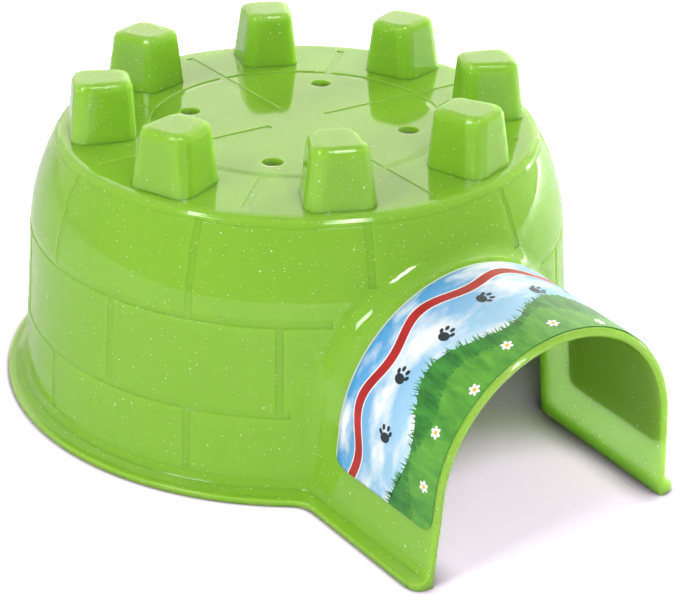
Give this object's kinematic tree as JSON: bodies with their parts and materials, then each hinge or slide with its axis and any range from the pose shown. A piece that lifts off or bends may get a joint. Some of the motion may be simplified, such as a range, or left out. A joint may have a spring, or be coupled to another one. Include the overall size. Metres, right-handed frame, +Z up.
{
  "type": "rodent igloo",
  "caption": "Round domed plastic hideout for small rodents, with an arched entrance tunnel, hollow pegs on its flat top, vents, brick-pattern walls and an open underside.",
  "frame": {"origin": "centre of the bounding box, on the floor under the flange", "axes": "+Z up, the entrance tunnel opens toward -Y, +X to the right of someone who looks along +Y into the doorway"},
  "size_m": [0.14, 0.1674, 0.0732],
  "materials": {
    "shell_plastic": "glossy translucent lime green with fine pale glitter",
    "label_print": "gloss printed adhesive sheet"
  },
  "bodies": {
    "root": {"shell": "shell_plastic", "label": "label_print"}
  },
  "joints": []
}
